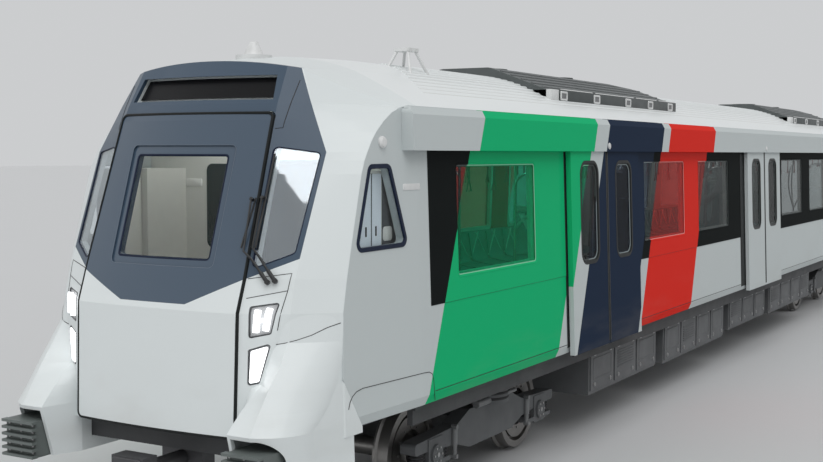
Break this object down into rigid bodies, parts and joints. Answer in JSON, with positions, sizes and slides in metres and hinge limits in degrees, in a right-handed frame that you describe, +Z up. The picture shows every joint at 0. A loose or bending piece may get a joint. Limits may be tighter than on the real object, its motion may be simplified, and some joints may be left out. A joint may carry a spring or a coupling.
{
  "type": "metro car",
  "caption": "Driving car of a metro train with a raked cab, sliding side doors, a hinged front hatch and two steering bogies",
  "frame": {"origin": "under the middle of the car's length and width, level with the lowest point of the wheel flanges", "axes": "+Z up, -Y towards the cab's nose, +X towards the right side as seen from in front of the nose, the side that the picture shows"},
  "size_m": [3.0294, 22.8, 4.003],
  "materials": {
    "body_white": "gloss paint",
    "roof_white": "satin paint",
    "mask_slate": "gloss coat",
    "clear_glass": "laminated",
    "tinted_glass": "tinted",
    "display_black": "dark glass",
    "lamp_lens": "clear lens",
    "band_black": "gloss black",
    "interior_panel": "moulded panel",
    "underframe_grey": "matt paint",
    "bellows_rubber": "pleated",
    "climber_grey": "matt paint",
    "coupler_steel": "cast",
    "unit_grey": "matt paint",
    "antenna_white": "moulded",
    "case_grey": "matt paint",
    "seat_plastic": "moulded",
    "rail_steel": "brushed",
    "desk_grey": "grained",
    "wiper_black": "satin",
    "bogie_grey": "matt paint",
    "wheel_steel": "turned"
  },
  "bodies": {
    "car_body": {"underframe": "underframe_grey", "side_wall_left": "body_white", "side_wall_right": "body_white", "roof_shell": "roof_white", "ceiling": "interior_panel", "cab_shell": "body_white", "cab_mask": "mask_slate", "cab_glazing": "tinted_glass", "destination_display": "display_black", "headlamps": "lamp_lens", "window_bands": "band_black", "side_glazing": "tinted_glass", "cantrail_covers": "body_white", "rear_end_wall": "body_white", "gangway": "bellows_rubber", "anticlimbers": "climber_grey", "couplers": "coupler_steel", "roof_units": "unit_grey", "roof_antennas": "antenna_white", "underfloor_cases": "case_grey", "seats": "seat_plastic", "grab_rails": "rail_steel", "cab_partition": "interior_panel", "driver_desk": "desk_grey", "wipers": "wiper_black"},
    "front_hatch": {"nose_hatch": "body_white", "windscreen": "clear_glass"},
    "bogie_front": {"bogie_front": "bogie_grey"},
    "wheelset_front_leading": {"wheelset_front_leading": "wheel_steel"},
    "wheelset_front_trailing": {"wheelset_front_trailing": "wheel_steel"},
    "bogie_rear": {"bogie_rear": "bogie_grey"},
    "wheelset_rear_leading": {"wheelset_rear_leading": "wheel_steel"},
    "wheelset_rear_trailing": {"wheelset_rear_trailing": "wheel_steel"},
    "door_right_1_front": {"door_right_1_front": "body_white", "door_pane_right_1_front": "tinted_glass"},
    "door_right_1_rear": {"door_right_1_rear": "body_white", "door_pane_right_1_rear": "tinted_glass"},
    "door_right_2_front": {"door_right_2_front": "body_white", "door_pane_right_2_front": "tinted_glass"},
    "door_right_2_rear": {"door_right_2_rear": "body_white", "door_pane_right_2_rear": "tinted_glass"},
    "door_right_3_front": {"door_right_3_front": "body_white", "door_pane_right_3_front": "tinted_glass"},
    "door_right_3_rear": {"door_right_3_rear": "body_white", "door_pane_right_3_rear": "tinted_glass"},
    "door_left_1_front": {"door_left_1_front": "body_white", "door_pane_left_1_front": "tinted_glass"},
    "door_left_1_rear": {"door_left_1_rear": "body_white", "door_pane_left_1_rear": "tinted_glass"},
    "door_left_2_front": {"door_left_2_front": "body_white", "door_pane_left_2_front": "tinted_glass"},
    "door_left_2_rear": {"door_left_2_rear": "body_white", "door_pane_left_2_rear": "tinted_glass"},
    "door_left_3_front": {"door_left_3_front": "body_white", "door_pane_left_3_front": "tinted_glass"},
    "door_left_3_rear": {"door_left_3_rear": "body_white", "door_pane_left_3_rear": "tinted_glass"}
  },
  "joints": [
    {"name": "front_hatch_hinge", "type": "hinge", "parent": "car_body", "child": "front_hatch", "pos_m": [0, -10.65, 3.373], "axis": [-1, 0, 0], "range_deg": [0, 80]},
    {"name": "bogie_front_yaw", "type": "hinge", "parent": "car_body", "child": "bogie_front", "pos_m": [0, -7.555, 0.628], "axis": [0, 0, 1], "range_deg": [-4, 4]},
    {"name": "wheelset_front_leading_spin", "type": "hinge", "parent": "bogie_front", "child": "wheelset_front_leading", "pos_m": [0, -8.655, 0.448], "axis": [1, 0, 0], "continuous": true},
    {"name": "wheelset_front_trailing_spin", "type": "hinge", "parent": "bogie_front", "child": "wheelset_front_trailing", "pos_m": [0, -6.455, 0.448], "axis": [1, 0, 0], "continuous": true},
    {"name": "bogie_rear_yaw", "type": "hinge", "parent": "car_body", "child": "bogie_rear", "pos_m": [0, 7.545, 0.628], "axis": [0, 0, 1], "range_deg": [-4, 4]},
    {"name": "wheelset_rear_leading_spin", "type": "hinge", "parent": "bogie_rear", "child": "wheelset_rear_leading", "pos_m": [0, 6.445, 0.448], "axis": [1, 0, 0], "continuous": true},
    {"name": "wheelset_rear_trailing_spin", "type": "hinge", "parent": "bogie_rear", "child": "wheelset_rear_trailing", "pos_m": [0, 8.645, 0.448], "axis": [1, 0, 0], "continuous": true},
    {"name": "door_right_1_front_slide", "type": "slide", "parent": "car_body", "child": "door_right_1_front", "axis": [0, -1, 0], "range_m": [0, 0.885]},
    {"name": "door_right_1_rear_slide", "type": "slide", "parent": "car_body", "child": "door_right_1_rear", "axis": [0, 1, 0], "range_m": [0, 0.885]},
    {"name": "door_right_2_front_slide", "type": "slide", "parent": "car_body", "child": "door_right_2_front", "axis": [0, -1, 0], "range_m": [0, 0.885]},
    {"name": "door_right_2_rear_slide", "type": "slide", "parent": "car_body", "child": "door_right_2_rear", "axis": [0, 1, 0], "range_m": [0, 0.885]},
    {"name": "door_right_3_front_slide", "type": "slide", "parent": "car_body", "child": "door_right_3_front", "axis": [0, -1, 0], "range_m": [0, 0.885]},
    {"name": "door_right_3_rear_slide", "type": "slide", "parent": "car_body", "child": "door_right_3_rear", "axis": [0, 1, 0], "range_m": [0, 0.885]},
    {"name": "door_left_1_front_slide", "type": "slide", "parent": "car_body", "child": "door_left_1_front", "axis": [0, -1, 0], "range_m": [0, 0.885]},
    {"name": "door_left_1_rear_slide", "type": "slide", "parent": "car_body", "child": "door_left_1_rear", "axis": [0, 1, 0], "range_m": [0, 0.885]},
    {"name": "door_left_2_front_slide", "type": "slide", "parent": "car_body", "child": "door_left_2_front", "axis": [0, -1, 0], "range_m": [0, 0.885]},
    {"name": "door_left_2_rear_slide", "type": "slide", "parent": "car_body", "child": "door_left_2_rear", "axis": [0, 1, 0], "range_m": [0, 0.885]},
    {"name": "door_left_3_front_slide", "type": "slide", "parent": "car_body", "child": "door_left_3_front", "axis": [0, -1, 0], "range_m": [0, 0.885]},
    {"name": "door_left_3_rear_slide", "type": "slide", "parent": "car_body", "child": "door_left_3_rear", "axis": [0, 1, 0], "range_m": [0, 0.885]}
  ],
  "couplings": [
    {"joint": "door_right_1_rear_slide", "follows": "door_right_1_front_slide", "ratio": 1},
    {"joint": "door_right_2_rear_slide", "follows": "door_right_2_front_slide", "ratio": 1},
    {"joint": "door_right_3_rear_slide", "follows": "door_right_3_front_slide", "ratio": 1},
    {"joint": "door_left_1_rear_slide", "follows": "door_left_1_front_slide", "ratio": 1},
    {"joint": "door_left_2_rear_slide", "follows": "door_left_2_front_slide", "ratio": 1},
    {"joint": "door_left_3_rear_slide", "follows": "door_left_3_front_slide", "ratio": 1}
  ]
}
